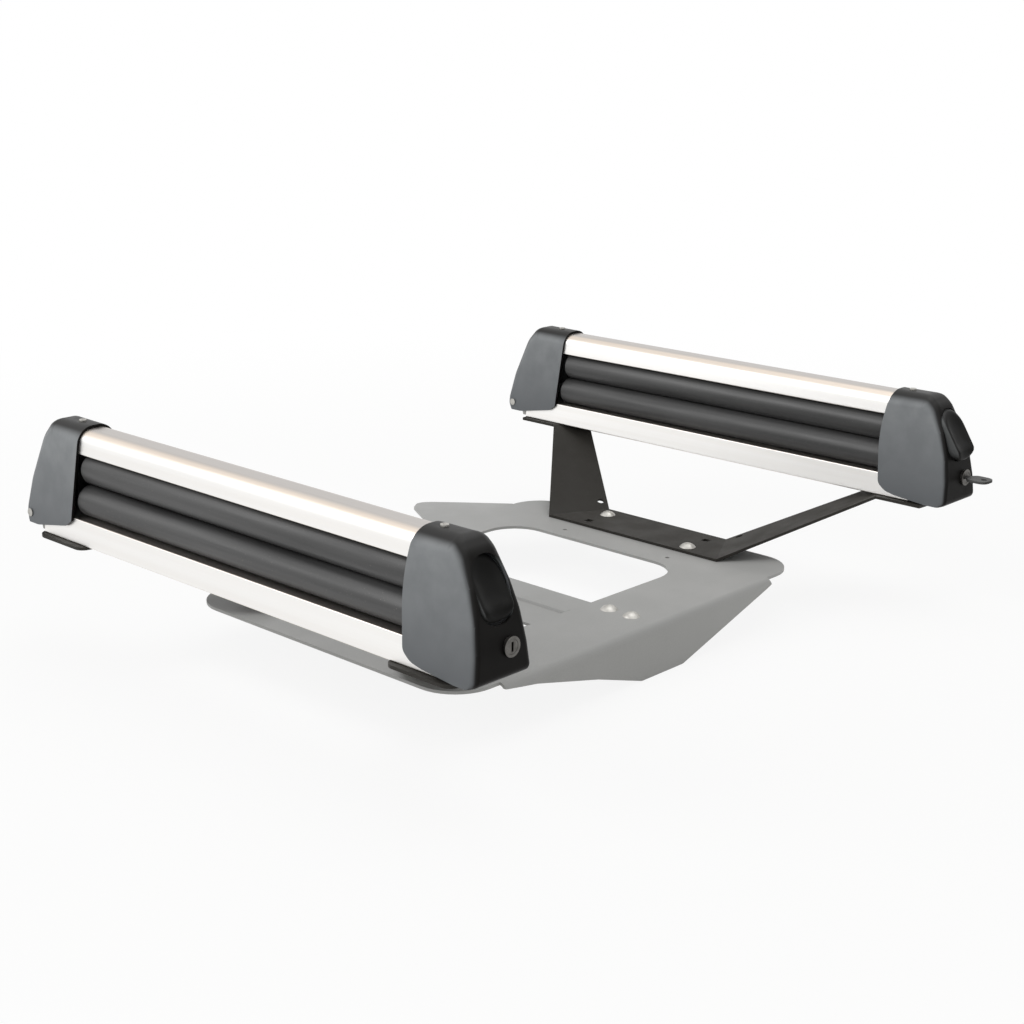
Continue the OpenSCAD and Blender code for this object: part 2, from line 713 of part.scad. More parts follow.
module hook_pin() {
    y0 = bar_y(pivot_z, -1.6);
    color(silver) rod_y(pivot_x, pivot_z, hook_pin_d / 2, y0, bar_w - y0);
}

// The push button's outline in Y and Z, grown by a clearance
module button_outline(grow) {
    w = button_w / 2 + grow;
    r = 9;
    polygon(rounded([[bar_w / 2 - w, button_z[0] - grow], [bar_w / 2 + w, button_z[0] - grow],
        [bar_w / 2 + w, button_z[1] + grow], [bar_w / 2 - w, button_z[1] + grow]], [r, r, r + 3, r + 3], 5));
}

// The button as it stands released: a dished body, its inner rim and its push rod
module button_shape() {
    face_x = lock_cap_out + button_proud - 8;
    rod_tip = pivot_x + 3.4 + 2;
    thumb = [[face_x, button_z[0] + 17], [lock_cap_out - 9, button_z[1] + cut]];
    out = unit([thumb[1][1] - thumb[0][1], thumb[0][0] - thumb[1][0]]);
    dish = (thumb[0] + thumb[1]) / 2 + (dish_r - dish_deep) * out;
    intersection() {
        along_x(lock_cap_out - 22, face_x + 20) button_outline(0);
        difference() {
            along_y(0, bar_w) polygon(rounded([[lock_cap_out - 14, button_z[0] - cut],
                [face_x - 2, button_z[0] - cut], [face_x, button_z[0] + 8], thumb[0], thumb[1],
                [lock_cap_out - 22, button_z[1] + cut], [lock_cap_out - 22, button_z[0] + 19],
                [lock_cap_out - 14, button_z[0] + 13]], [0, 5, 12, 3, 0, 0, 0, 0], 4));
            translate([dish[0], bar_w / 2, dish[1]]) sphere(dish_r, $fn = 96);
        }
    }
    intersection() {
        along_x(lock_cap_out - 50, lock_cap_out) button_outline(2.6);
        along_y(0, bar_w) difference() {
            polygon(lock_side(cap_wall + 0.3, 0));
            polygon(lock_side(cap_wall + 2.3, 0));
            translate([0, -20]) square([lock_cap_out, button_z[0] - 3 + 20]);
            translate([0, button_z[1] + 3]) square([lock_cap_out, 60]);
        }
    }
    translate([rod_tip, hook_y - 3 + 1.5, pivot_z + lever_h - 2]) cube([lock_cap_out - 18 - rod_tip, 5, 4]);
    rod_y(rod_tip, pivot_z + lever_h, 2, hook_y - 1.5, hook_y + 3.5);
}

module button(pressed) {
    color(black) translate([-pressed * button_travel, 0, 0]) button_shape();
}

module latch_hook(pressed) {
    w = 3;
    nose_z = bar_h - 14 - pivot_z;
    color(zinc) translate([pivot_x, 0, pivot_z]) rotate([0, -pressed * press_angle, 0]) difference() {
        along_y(hook_y - hook_t / 2, hook_y + hook_t / 2) union() {
            circle(5);
            polygon([[w, lever_h + 4], [-w, lever_h + 4], [-w, nose_z + 5], [-w - 1, nose_z + 4],
                [-w - 1, nose_z + 1], [-w, nose_z], [w, nose_z]]);
        }
        rod_y(0, 0, hook_pin_d / 2 + pin_clear, 0, bar_w);
    }
}

// Points of one ring of the spring's wire, at a share of its length
function spring_ring(share, turns, length) = [for (k = [0:5]) let (a = 360 * turns * share, b = 60 * k,
    r = spring_r + spring_wire / 2 * cos(b)) [length * share + spring_wire / 2 * sin(b), r * cos(a), r * sin(a)]];

// A compression spring as one unbroken wire, along X
module spring(length, turns = 6) {
    rings = turns * 10;
    points = [for (i = [0:rings]) each spring_ring(i / rings, turns, length - spring_wire)];
    walls = [for (i = [0:rings - 1], k = [0:5]) let (a = 6 * i + k, b = 6 * i + (k + 1) % 6)
        each [[a, a + 6, b], [b, a + 6, b + 6]]];
    translate([spring_wire / 2, 0, 0])
        polyhedron(concat(points), concat(walls, [[0, 1, 2], [0, 2, 3], [0, 3, 4], [0, 4, 5]],
            [for (k = [1:4]) [6 * rings, 6 * rings + k + 1, 6 * rings + k]]));
}

module button_spring(pressed) {
    x0 = bulkhead_x + bulkhead_t + 0.2;
    z = pivot_z + lever_h;
    seat = lock_cap_out - 22.5 - pressed * button_travel;
    color(silver) translate([x0, spring_y, z]) spring(seat - x0);
}

module lock_housing() {
    x1 = lock_cap_out + 1.2;
    color(zinc) difference() {
        union() {
            rod_x(lock_y, lock_z, lock_d / 2, lock_cap_out, x1);
            rod_x(lock_y, lock_z, lock_d / 2 - 1, lock_cap_out - 16, lock_cap_out + 0.5);
        }
        rod_x(lock_y, lock_z, plug_d / 2 + pin_clear, lock_cap_out - 20, x1 + cut);
    }
}

// The plug turns in the housing; its keyway is upright when it is locked
module lock_plug(turned) {
    color(silver) translate([0, lock_y, lock_z]) rotate([turned * 90, 0, 0]) difference() {
        rod_x(0, 0, plug_d / 2, lock_cap_out - 18, lock_cap_out + 0.9);
        translate([lock_cap_out - 15, -keyway[1] / 2, -keyway[0] / 2]) cube([20, keyway[1], keyway[0]]);
    }
}

module lock_cam(turned) {
    color(zinc) translate([0, lock_y, lock_z]) rotate([turned * 90, 0, 0])
        along_x(lock_cap_out - 20, lock_cap_out - 18) union() {
            circle(5);
            translate([-3, 0]) square([6, 10]);
        }
}

module key() {
    x0 = lock_cap_out + 4;
    t = keyway[1] - 0.2;
    color(zinc) translate([0, lock_y, lock_z]) {
        translate([lock_cap_out - 14, -keyway[0] / 2 + 0.1, -t / 2]) cube([19, keyway[0] - 0.2, t]);
        translate([0, 0, -t / 2 - 0.3]) linear_extrude(t + 0.6) difference() {
            polygon(rounded([[x0, -6], [x0 + 4, -bow_w / 2], [lock_cap_out + key_out, -bow_w / 2],
                [lock_cap_out + key_out, bow_w / 2], [x0 + 4, bow_w / 2], [x0, 6]], [1, 5, 8, 8, 5, 1], 5));
            translate([lock_cap_out + key_out - 7, 0]) circle(3);
        }
    }
}

module at_rear() {
    translate([0, rear_bar_y, platform_z]) children();
}

module at_front() {
    translate([0, front_bar_y, platform_z]) children();
}

base_plate();
cross_beam();
translate([0, strip_y, stand_h]) bracket();  // rear_bracket
mirror([0, 1, 0]) translate([0, strip_y, stand_h]) bracket();  // front_bracket
color(silver) each_bracket() translate([0, 0, bracket_t]) at_holes(fitted_holes) dome_bolt(bracket_t + plate_t);  // bracket_bolts
color(silver) each_bracket() translate([0, 0, -plate_t]) at_holes(fitted_holes) washer();  // bracket_washers
color(silver) each_bracket() translate([0, 0, -plate_t - washer_t]) at_holes(fitted_holes) nut();  // bracket_nuts
color(silver) at_beam_bolts() dome_bolt(2 * plate_t);  // beam_bolts
color(silver) at_beam_bolts() translate([0, 0, -2 * plate_t]) washer();  // beam_washers
color(silver) at_beam_bolts() translate([0, 0, -2 * plate_t - washer_t]) nut();  // beam_nuts

// The rear bar stands unlocked, with its button out and the key turned in its lock
at_rear() lower_bar();  // rear_lower_bar
at_rear() pad(bar_h);  // rear_lower_pad
at_rear() hinge_block();  // rear_hinge_block
at_rear() strike();  // rear_strike
at_rear() t_bolts();  // rear_t_bolts
at_rear() t_nuts();  // rear_t_nuts
at_rear() upper_bar();  // rear_upper_bar
at_rear() pad(upper_z - pad_h);  // rear_upper_pad
at_rear() hinge_cap();  // rear_hinge_cap
at_rear() lock_cap();  // rear_lock_cap
at_rear() cap_screws();  // rear_cap_screws
at_rear() hinge_pin();  // rear_hinge_pin
at_rear() hook_pin();  // rear_hook_pin
at_rear() lock_housing();  // rear_lock_housing
at_rear() button_spring(0);  // rear_button_spring
at_rear() button(0);  // rear_button
at_rear() latch_hook(0);  // rear_latch_hook
at_rear() lock_plug(1);  // rear_lock_plug
at_rear() lock_cam(1);  // rear_lock_cam
at_rear() key();  // rear_key

// The front bar stands locked, with its button pressed in and its keyway upright
at_front() lower_bar();  // front_lower_bar
at_front() pad(bar_h);  // front_lower_pad
at_front() hinge_block();  // front_hinge_block
at_front() strike();  // front_strike
at_front() t_bolts();  // front_t_bolts
at_front() t_nuts();  // front_t_nuts
at_front() upper_bar();  // front_upper_bar
at_front() pad(upper_z - pad_h);  // front_upper_pad
at_front() hinge_cap();  // front_hinge_cap
at_front() lock_cap();  // front_lock_cap
at_front() cap_screws();  // front_cap_screws
at_front() hinge_pin();  // front_hinge_pin
at_front() hook_pin();  // front_hook_pin
at_front() lock_housing();  // front_lock_housing
at_front() button_spring(1);  // front_button_spring
at_front() button(1);  // front_button
at_front() latch_hook(1);  // front_latch_hook
at_front() lock_plug(0);  // front_lock_plug
at_front() lock_cam(0);  // front_lock_cam
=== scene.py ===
import bmesh
import bpy
from math import acos, atan2, cos, pi, radians, sin, tan
from mathutils import Matrix, Vector


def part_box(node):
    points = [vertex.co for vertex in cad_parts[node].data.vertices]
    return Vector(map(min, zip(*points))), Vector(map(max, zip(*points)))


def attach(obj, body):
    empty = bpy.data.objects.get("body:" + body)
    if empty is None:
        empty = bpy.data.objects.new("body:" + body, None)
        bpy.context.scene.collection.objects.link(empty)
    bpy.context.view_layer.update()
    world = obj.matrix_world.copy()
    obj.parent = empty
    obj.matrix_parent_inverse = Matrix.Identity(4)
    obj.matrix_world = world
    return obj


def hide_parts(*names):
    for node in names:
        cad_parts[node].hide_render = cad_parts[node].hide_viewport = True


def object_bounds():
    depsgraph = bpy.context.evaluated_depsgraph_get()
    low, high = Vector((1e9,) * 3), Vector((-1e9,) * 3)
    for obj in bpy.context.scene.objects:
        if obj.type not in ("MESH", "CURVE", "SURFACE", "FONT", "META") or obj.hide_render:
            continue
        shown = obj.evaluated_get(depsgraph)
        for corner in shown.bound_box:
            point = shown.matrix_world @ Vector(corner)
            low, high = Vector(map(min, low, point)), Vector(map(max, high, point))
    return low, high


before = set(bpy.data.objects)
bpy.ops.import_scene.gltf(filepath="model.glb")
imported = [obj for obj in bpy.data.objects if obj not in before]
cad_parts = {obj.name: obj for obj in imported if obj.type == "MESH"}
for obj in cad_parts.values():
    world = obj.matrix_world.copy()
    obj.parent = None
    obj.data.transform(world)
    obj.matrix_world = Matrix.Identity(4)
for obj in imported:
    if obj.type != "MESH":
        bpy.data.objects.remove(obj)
cadLow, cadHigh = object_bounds()
mm = 0.001
touching = 0.001 * mm  # points closer than this are merged
print("frame loaded, CAD box", [round(v / mm, 1) for v in cadHigh - cadLow])

# the camera stands where the photograph was taken from
photoView = {"place": (1151.3, -1239.1, 617.6), "azimuth": 43.115, "above": 16.43, "roll": 0.43,
             "lens": 61.07, "sensor": 36, "nearest": 0.05, "farthest": 60}
camera = bpy.data.objects.new("camera", bpy.data.cameras.new("camera"))
camera.location = Vector(photoView["place"]) * mm
turns = ((photoView["azimuth"], "Z"), (90 - photoView["above"], "X"), (photoView["roll"], "Z"))
aim = Matrix.Identity(3)
for angle, axis in turns:
    aim = aim @ Matrix.Rotation(radians(angle), 3, axis)
camera.rotation_euler = aim.to_euler()
camera.data.lens = photoView["lens"]
camera.data.sensor_width = photoView["sensor"]
camera.data.clip_start = photoView["nearest"]
camera.data.clip_end = photoView["farthest"]
bpy.context.scene.collection.objects.link(camera)
bpy.context.scene.camera = camera


def fromHex(text):
    channels = [int(text[i:i + 2], 16) / 255 for i in (1, 3, 5)]
    return tuple(c / 12.92 if c <= 0.04045 else ((c + 0.055) / 1.055) ** 2.4 for c in channels) + (1.0,)


def setSocket(tree, socket, value):
    # the value is another node's output, a colour in hex or a plain number
    if isinstance(value, bpy.types.NodeSocket):
        tree.links.new(value, socket)
    elif isinstance(value, str):
        socket.default_value = fromHex(value)
    else:
        socket.default_value = value


def addNode(tree, kind, inputs=None, **settings):
    node = tree.nodes.new("ShaderNode" + kind)
    for name, value in settings.items():
        setattr(node, name, value)
    for socket, value in (inputs or {}).items():
        setSocket(tree, node.inputs[socket], value)
    return node


def startMaterial(name, **shaderInputs):
    material = bpy.data.materials.new(name)
    material.use_nodes = True
    tree = material.node_tree
    shader = tree.nodes["Principled BSDF"]
    for socket, value in shaderInputs.items():
        setSocket(tree, shader.inputs[socket.replace("_", " ")], value)
    return material, tree, shader


def spread(tree, place, size, detail=2, low=0.35, high=0.65):
    # a soft noise with features of a size in millimetres, stretched to run from 0 to 1
    noise = addNode(tree, "TexNoise", {"Vector": place, "Scale": 1 / (size * mm), "Detail": detail})
    return addNode(tree, "MapRange", {"Value": noise.outputs["Fac"], "From Min": low,
                                      "From Max": high}).outputs[0]


def facing(tree, axis, low, high):
    # how far a surface faces along an axis of its own piece, either way
    normal = addNode(tree, "TexCoord").outputs["Normal"]
    part = addNode(tree, "SeparateXYZ", {0: normal}).outputs["XYZ".index(axis)]
    size = addNode(tree, "Math", {0: part}, operation="ABSOLUTE").outputs[0]
    return addNode(tree, "MapRange", {"Value": size, "From Min": low, "From Max": high},
                   interpolation_type="SMOOTHSTEP").outputs[0]


def layered(tree, colour, *coats):
    # a colour with others laid over it, each as far as its mask lets it show
    for mask, coat in coats:
        mix = addNode(tree, "Mix", {"Factor": mask, 6: colour, 7: coat}, data_type="RGBA")
        colour = mix.outputs[2]
    return colour


def finishSurface(tree, shader, colour, sheen, relief):
    # sheen is a pattern and its range of roughness, relief a pattern, its depth in millimetres and strength
    pattern, (low, high) = sheen
    height, depth, strength = relief
    roughness = addNode(tree, "MapRange", {"Value": pattern, "To Min": low, "To Max": high})
    bump = addNode(tree, "Bump", {"Height": height, "Distance": depth * mm, "Strength": strength})
    setSocket(tree, shader.inputs["Base Color"], colour)
    setSocket(tree, shader.inputs["Roughness"], roughness.outputs[0])
    setSocket(tree, shader.inputs["Normal"], bump.outputs[0])


# polyester powder coat, sprayed and baked: even satin, with a faint orange peel and no grain in the colour
def powderCoat(name, tones, peel, roughness, depth, gloss):
    material, tree, shader = startMaterial(name, IOR=1.5, Specular_IOR_Level=gloss)
    place = addNode(tree, "TexCoord").outputs["Object"]
    colour = layered(tree, tones[0], (spread(tree, place, size=140), tones[1]),
                     (spread(tree, place, size=peel, detail=3, low=0.3, high=0.7), tones[2]))
    orangePeel = spread(tree, place, size=peel, detail=3, low=0.2, high=0.8)
    finishSurface(tree, shader, colour, (spread(tree, place, size=30), roughness), (orangePeel, depth, 0.5))
    return material


# extruded aluminium, etched and anodised: satin, with faint die lines along its length, and a painted
# reflection on faces that face up or down: warm on the rounding, greyer where they face straight up
def anodisedAluminium(name):
    material, tree, shader = startMaterial(name, Metallic=1.0)
    place = addNode(tree, "TexCoord").outputs["Object"]
    lines = addNode(tree, "Mapping", {"Vector": place, "Scale": (0.01, 1, 1)}).outputs[0]
    # real die lines are finer than a pixel, so these are drawn coarser
    streak = spread(tree, lines, size=1.6, detail=4, low=0.3, high=0.7)
    faintStreak = addNode(tree, "MapRange", {"Value": streak, "To Max": 0.15}).outputs[0]
    # painted reflection: the two facing masks tint faces towards Z warm, then grey where they face straight
    # along Z, in place of a lit ceiling seen in them
    colour = layered(tree, "#f4f3f1", (spread(tree, lines, size=9), "#efedea"),
                     (facing(tree, "Z", 0.35, 0.8), "#dfd2c5"), (facing(tree, "Z", 0.86, 1.0), "#b9b4b0"),
                     (faintStreak, "#ebe8e3"))
    finishSurface(tree, shader, colour, (streak, (0.33, 0.42)), (streak, 0.006, 0.4))
    return material


# extruded EPDM rubber, vulcanised: dull black with a dry bloom and specks of dust
def epdmRubber(name):
    material, tree, shader = startMaterial(name, IOR=1.5)
    place = addNode(tree, "TexCoord").outputs["Object"]
    lines = addNode(tree, "Mapping", {"Vector": place, "Scale": (0.05, 1, 1)}).outputs[0]
    bloom = spread(tree, lines, size=14, detail=3)
    dust = spread(tree, place, size=1.1, low=0.69, high=0.75)
    colour = layered(tree, "#363636", (bloom, "#4e4e4e"), (dust, "#6f6b66"))
    dull = spread(tree, lines, size=8, detail=3)
    ridges = spread(tree, lines, size=3, detail=4)
    finishSurface(tree, shader, colour, (dull, (0.34, 0.5)), (ridges, 0.05, 0.5))
    return material


# glass-filled nylon, injection moulded in a spark-eroded tool: fine matt grain, with a painted grey sheen on
# the broad faces that grows with height, standing in for their reflection of soft light, and almost black
# ends
def mouldedNylon(name, dark, paintedSheenTones, grain=0.9):
    material, tree, shader = startMaterial(name, IOR=1.5)
    place = addNode(tree, "TexCoord").outputs["Object"]
    height = addNode(tree, "SeparateXYZ", {0: place}).outputs[2]
    paintedSheenRise = addNode(tree, "MapRange", {"Value": height, "From Min": 125 * mm, "From Max": 215 * mm}).outputs[0]
    mottle = spread(tree, place, size=22, detail=4)
    faintMottle = addNode(tree, "MapRange", {"Value": mottle, "To Max": 0.35}).outputs[0]
    # painted sheen: faces along Y are painted grey, paler higher up, in place of reflected light; the ends
    # keep the dark tone
    sheen = layered(tree, paintedSheenTones[0], (paintedSheenRise, paintedSheenTones[1]), (faintMottle, paintedSheenTones[0]))
    colour = layered(tree, dark[0], (mottle, dark[1]), (facing(tree, "Y", 0.6, 0.98), sheen))
    ends = facing(tree, "X", 0.5, 0.97)
    gloss = addNode(tree, "MapRange", {"Value": ends, "To Min": 0.3, "To Max": 0.05}).outputs[0]
    setSocket(tree, shader.inputs["Specular IOR Level"], gloss)
    finishSurface(tree, shader, colour, (mottle, (0.4, 0.52)), (spread(tree, place, size=grain), 0.02, 0.5))
    return material


# zinc-plated steel or cast zinc: fine satin, a little cloudy where the plating settled
def platedMetal(name, tones, roughness):
    material, tree, shader = startMaterial(name, Metallic=1.0)
    place = addNode(tree, "TexCoord").outputs["Object"]
    cloud = spread(tree, place, size=5, detail=3)
    grain = spread(tree, place, size=1.5, detail=3)
    colour = layered(tree, tones[0], (cloud, tones[1]))
    finishSurface(tree, shader, colour, (cloud, roughness), (grain, 0.01, 0.4))
    return material


finishes = {
    "base_grey": powderCoat("greyPowderCoat", ("#aaaaa8", "#a0a09e", "#a5a5a3"), peel=1.2,
                            roughness=(0.42, 0.5), depth=0.03, gloss=0.4),
    "bracket_black": powderCoat("anthracitePowderCoat", ("#302e2b", "#292725", "#393733"), peel=0.7,
                                roughness=(0.52, 0.62), depth=0.06, gloss=0.16),
    "bar_aluminium": anodisedAluminium("anodisedAluminium"),
    "pad_rubber": epdmRubber("epdmRubber"),
    "cap_plastic": mouldedNylon("mouldedNylonCap", ("#151413", "#1b1a19"), ("#64676a", "#8b8e90")),
    "button_plastic": mouldedNylon("mouldedNylonButton", ("#131312", "#191918"), ("#3c3d3d", "#5a5c5c"),
                                   grain=0.7),
    "cast_zinc": platedMetal("dieCastZinc", ("#9c9b98", "#8b8a87"), (0.38, 0.5)),
    "lock_steel": platedMetal("turnedLockSteel", ("#686663", "#585653"), (0.36, 0.48)),
    "key_plastic": mouldedNylon("mouldedKeyBow", ("#3a3a39", "#444443"), ("#4c4c4b", "#555554"), grain=0.7),
    "fastener_steel": platedMetal("zincPlatedSteel", ("#bebcb7", "#aeaca7"), (0.38, 0.5)),
}
print("materials made:", len(finishes))


def meshFrom(bm, name):
    mesh = bpy.data.meshes.new(name)
    bm.to_mesh(mesh)
    bm.free()
    return mesh


def looseObject(name, mesh):
    piece = bpy.data.objects.new(name, mesh)
    bpy.context.scene.collection.objects.link(piece)
    return piece


def finishPiece(node, mesh, slotName, body, smoothBelow=32):
    # the piece that takes a CAD node's place
    piece = looseObject(node.replace("_", "-"), mesh)
    mesh.materials.clear()
    mesh.materials.append(finishes[slotName])
    mesh.polygons.foreach_set("use_smooth", [True] * len(mesh.polygons))
    mesh.set_sharp_from_angle(angle=radians(smoothBelow))
    shading = piece.modifiers.new("evenShading", "WEIGHTED_NORMAL")
    shading.keep_sharp = True
    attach(piece, body)
    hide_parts(node)


# one ski carrier's bars and the space for its pads, in millimetres: lean is how far the faces lean inwards
# for each millimetre of height, and underCap is how far the lower bar runs on under the hinge cap
barShape = {"depth": 60, "lean": 0.125, "lower": 23.7, "pads": 61.3, "upper": 23, "half": 255, "underCap": 18}
# where each carrier stands: its lower bar's lower front corner, on its platforms
armPlace = {side: Vector((0, *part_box(side + "_lower_bar")[0][1:])) for side in ("rear", "front")}


def softCopy(node, slotName, body, width, segments=2, longer=0):
    # the CAD shape with its edges broken, as sheet and cast edges are, and its far end drawn out where asked
    bm = bmesh.new()
    bm.from_mesh(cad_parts[node].data)
    farEnd = [v for v in bm.verts if longer and v.co.x < -barShape["half"] * mm]
    bmesh.ops.translate(bm, verts=farEnd, vec=(-longer * mm, 0, 0))
    bmesh.ops.remove_doubles(bm, verts=bm.verts, dist=touching)
    bmesh.ops.dissolve_limit(bm, angle_limit=radians(0.5), verts=bm.verts, edges=bm.edges)
    if width:
        sharp = [e for e in bm.edges if e.is_manifold and e.calc_face_angle() > radians(40)]
        bmesh.ops.bevel(bm, geom=sharp, offset=width * mm, offset_type="OFFSET", segments=segments,
                        profile=0.5, affect="EDGES", material=-1, clamp_overlap=True)
    finishPiece(node, meshFrom(bm, node), slotName, body)


# pieces of the stand that keep their CAD shape: slot, rounding of the edges in millimetres and its segments
standPieces = {
    "base_plate": ("base_grey", 0.5, 2),
    "cross_beam": ("base_grey", 0.5, 2),
    "rear_bracket": ("bracket_black", 0.4, 2),
    "front_bracket": ("bracket_black", 0.4, 2),
    "bracket_bolts": ("fastener_steel", 0.35, 3),
    "beam_bolts": ("fastener_steel", 0.35, 3),
    "bracket_washers": ("fastener_steel", 0.2, 2),
    "bracket_nuts": ("fastener_steel", 0.2, 2),
    "beam_washers": ("fastener_steel", 0.2, 2),
    "beam_nuts": ("fastener_steel", 0.2, 2),
}
for node, (slotName, width, segments) in standPieces.items():
    softCopy(node, slotName, "stand", width, segments)
print("base, beam, brackets and their bolts made")


def ease(value, low, high):
    share = max(0.0, min(1.0, (value - low) / (high - low)))
    return share * share * (3 - 2 * share)


def roundedOutline(corners, radii, steps=7):
    # each corner becomes an arc of the given radius
    outline = []
    for i, radius in enumerate(radii):
        corner = Vector(corners[i])
        if radius == 0:
            outline.append(corner)
            continue
        before = (Vector(corners[i - 1]) - corner).normalized()
        after = (Vector(corners[(i + 1) % len(corners)]) - corner).normalized()
        half = acos(max(-1, min(1, before.dot(after)))) / 2
        centre = corner + (before + after).normalized() * radius / sin(half)
        start = corner + before * radius / tan(half) - centre
        end = corner + after * radius / tan(half) - centre
        first = atan2(start.y, start.x)
        turn = (atan2(end.y, end.x) - first + 3 * pi) % (2 * pi) - pi
        for k in range(steps + 1):
            angle = first + turn * k / steps
            outline.append(centre + radius * Vector((cos(angle), sin(angle))))
    return outline


def loftRings(rings, side):
    # a grid wrapped round the rings, which all have as many points, and closed at both ends
    bm = bmesh.new()
    around = len(rings[0])
    grid = bmesh.ops.create_grid(bm, x_segments=around, y_segments=len(rings) - 1, size=1)["verts"]
    for i, vert in enumerate(grid):
        row, column = divmod(i, around + 1)
        vert.co = rings[row][column % around] * mm + armPlace[side]
    bm.faces.new(grid[:around])
    bm.faces.new(grid[-around - 1:-1])
    bmesh.ops.remove_doubles(bm, verts=bm.verts, dist=touching)
    bmesh.ops.recalc_face_normals(bm, faces=bm.faces)
    return bm


def addBox(bm, low, high, side):
    size = (Vector(high) - Vector(low)) * mm
    middle = (Vector(high) + Vector(low)) / 2 * mm + armPlace[side]
    bmesh.ops.create_cube(bm, size=1, matrix=Matrix.Translation(middle) @ Matrix.Diagonal((*size, 1)))


def cutterRod(name, centre, axis, radius, length, side):
    bm = bmesh.new()
    bmesh.ops.create_cone(bm, cap_ends=True, segments=40, radius1=radius * mm, radius2=radius * mm,
                          depth=length * mm)
    turn = Vector((0, 0, 1)).rotation_difference(Vector(axis)).to_matrix().to_4x4()
    place = Matrix.Translation(Vector(centre) * mm + armPlace[side])
    bmesh.ops.transform(bm, matrix=place @ turn, verts=bm.verts)
    return looseObject(name, meshFrom(bm, name))


def carved(piece, cutters):
    # the piece's mesh once each cutter has been taken from it
    for cutter in cutters:
        cut = piece.modifiers.new("cut", "BOOLEAN")
        cut.operation = "DIFFERENCE"
        cut.solver = "MANIFOLD"
        cut.object = cutter
    graph = bpy.context.evaluated_depsgraph_get()
    mesh = bpy.data.meshes.new_from_object(piece.evaluated_get(graph))
    for spent in [piece, *cutters]:
        bpy.data.objects.remove(spent)
    bm = bmesh.new()
    bm.from_mesh(mesh)
    bmesh.ops.dissolve_limit(bm, angle_limit=radians(0.4), verts=bm.verts, edges=bm.edges)
    bm.to_mesh(mesh)
    bm.free()
    return mesh


# both end caps are shells in a carrier's own frame, with X along the bars, whose edges get rounder from
# crownFrom to crownFull millimetres below the top; past and pastBelow are how far cutters run beyond them
capShape = {"wall": 2.5, "clear": 0.5, "endRound": 6, "topExtra": 9.5, "crownFrom": 50, "crownFull": 8,
            "screwBore": 2.2, "screwDepth": 12, "roundSteps": 8, "past": 20, "pastBelow": 10}
capTop = barShape["lower"] + barShape["pads"] + barShape["upper"] + capShape["clear"] + capShape["wall"]
capMiddle = barShape["depth"] / 2


def mouldedBlock(name, outline, radiusAt, inset, side, flip):
    # a side outline in X and Z, as deep as a cap, whose faces lean inwards and whose edges are rounded
    proud = capShape["wall"] + capShape["clear"] - inset
    radii = [max(0.0, radiusAt(p) - inset) if radiusAt(p) else 0.0 for p in outline]
    ways = []
    for i, p in enumerate(outline):
        j = (i + 1) % len(outline)
        before, after = (p - outline[i - 1]).normalized(), (outline[j] - p).normalized()
        along = (before + after).normalized()
        way = Vector((-along.y, along.x))
        if radii[i] and not radii[i - 1]:
            way = -before  # the rounding runs out on the open side
        elif radii[i] and not radii[j]:
            way = after
        ways.append(way)
    front = []
    for k in range(capShape["roundSteps"] + 1):
        angle = pi / 2 * k / capShape["roundSteps"]
        ring = []
        for p, radius, way in zip(outline, radii, ways):
            q = p + way * radius * (1 - sin(angle))
            leaning = barShape["lean"] * q.y - proud + radius * (1 - cos(angle))
            ring.append(Vector((q.x * flip, leaning, q.y)))
        front.append(ring)
    back = [[Vector((p.x, barShape["depth"] - p.y, p.z)) for p in ring] for ring in reversed(front)]
    return looseObject(name, meshFrom(loftRings(front + back, side), name))


def slopingEnd(cap, x, inset):
    # a cap's end from above its foot to its crown, leaning back from x
    return [*((x - back, z) for back, z in cap["slope"]), (x - cap["crown"], capTop - inset)]


def crownRadius(cap, p):
    # the extra rounding at the top, which is less towards the cap's end
    grown = ease(p.y, capTop - capShape["crownFrom"], capTop - capShape["crownFull"])
    return capShape["topExtra"] * (grown * (1 - cap["fade"] * ease(p.x, *cap["fadeRun"])))


def screwCutter(cap, flip, side):
    return cutterRod("screwHole", (cap["screw"] * flip, capMiddle, capTop), (0, 0, 1), capShape["screwBore"],
                     capShape["screwDepth"], side)


# foot is distances from inner and heights above bottom, slope is distances back from outer and heights,
# and the arcs are the radii of all corners from the bowed mouth, round the foot, up to the crown
lockCap = {"inner": 226, "outer": 306, "bottom": 0.6, "bow": 7, "bowHeight": 68,
           "foot": ((0, 13), (9, 6), (22, 3.4)), "toe": 22,
           "slope": ((1.5, 26), (6, 52), (14, 76), (25, 101)), "crown": 36, "crownEdge": 2,
           "outerArcs": (150, 9, 20, 20, 0, 7, 60, 60, 50, 22, 15, 0),
           "innerArcs": (0, 0, 60, 60, 50, 20, 13, 0), "pastMouth": 4,
           "mouthTop": 5, "soleHeight": 17, "soleRun": 16, "fade": 0.5, "fadeRun": (258, 276),
           "screw": 242, "bulkhead": 256, "bulkheadFoot": 60, "openingFrom": 265,
           "pinX": 276, "pinZ": 50, "pinBore": 2.05, "pinLength": 50.9,
           "lockY": 38, "lockZ": 27, "lockBore": 7.55, "bossWall": 2.9, "bossLength": 12}
# the button: its thumb face stands upright up to a knee and slopes back above it, the body behind the face
# is deeper above step, rod is two corners of the push rod that turns the hook, and dish is the face's
# section as shares of the way in to the middle and heights over the sloping face
buttonShape = {"width": 34, "low": 46, "high": 97, "clear": 0.9, "lowRound": 15.5, "highRound": 17,
               "travel": 8, "proud": 3.5, "kneeUp": 11, "footBack": 3.5, "slope": 0.62, "blend": (10, 8),
               "lowDepth": 14, "highDepth": 22, "step": 62, "rod": ((280, 14.5, 70), (286, 19.5, 74)),
               "dish": ((0, -3.2), (0.004, -1.9), (0.02, -0.9), (0.05, -0.25), (0.09, 0), (0.15, 0),
                        (0.22, -0.25), (0.32, -0.9), (0.45, -1.7), (0.6, -2.3), (0.78, -2.55),
                        (0.93, -2.6))}


